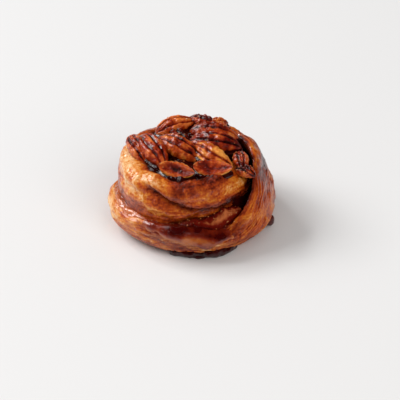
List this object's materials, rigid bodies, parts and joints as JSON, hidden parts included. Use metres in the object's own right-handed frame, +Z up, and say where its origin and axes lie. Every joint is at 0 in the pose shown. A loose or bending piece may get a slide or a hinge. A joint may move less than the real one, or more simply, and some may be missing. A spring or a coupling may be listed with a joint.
{
  "type": "sticky bun",
  "caption": "Round spiral bun of laminated dough with pecan halves on top, caramel set on its ledge, in its swirl and round its foot.",
  "frame": {"origin": "middle of the bun's outline in plan, on the surface it stands on", "axes": "+Z up; -Y is the front, where the roll shows its swirl and its low outer ledge; +X to the right"},
  "size_m": [0.1048, 0.1022, 0.0565],
  "materials": {
    "dough": "browned, flaky crust under a thin glaze, with glossy dark caramel",
    "pecan": "ridged, toasted nut under a coat of caramel"
  },
  "bodies": {
    "root": {"dough": "dough", "pecan_01": "pecan", "pecan_02": "pecan", "pecan_03": "pecan", "pecan_04": "pecan", "pecan_05": "pecan", "pecan_06": "pecan", "pecan_07": "pecan", "pecan_08": "pecan", "pecan_09": "pecan", "pecan_10": "pecan", "pecan_11": "pecan", "pecan_12": "pecan", "pecan_13": "pecan", "pecan_14": "pecan"}
  },
  "joints": []
}
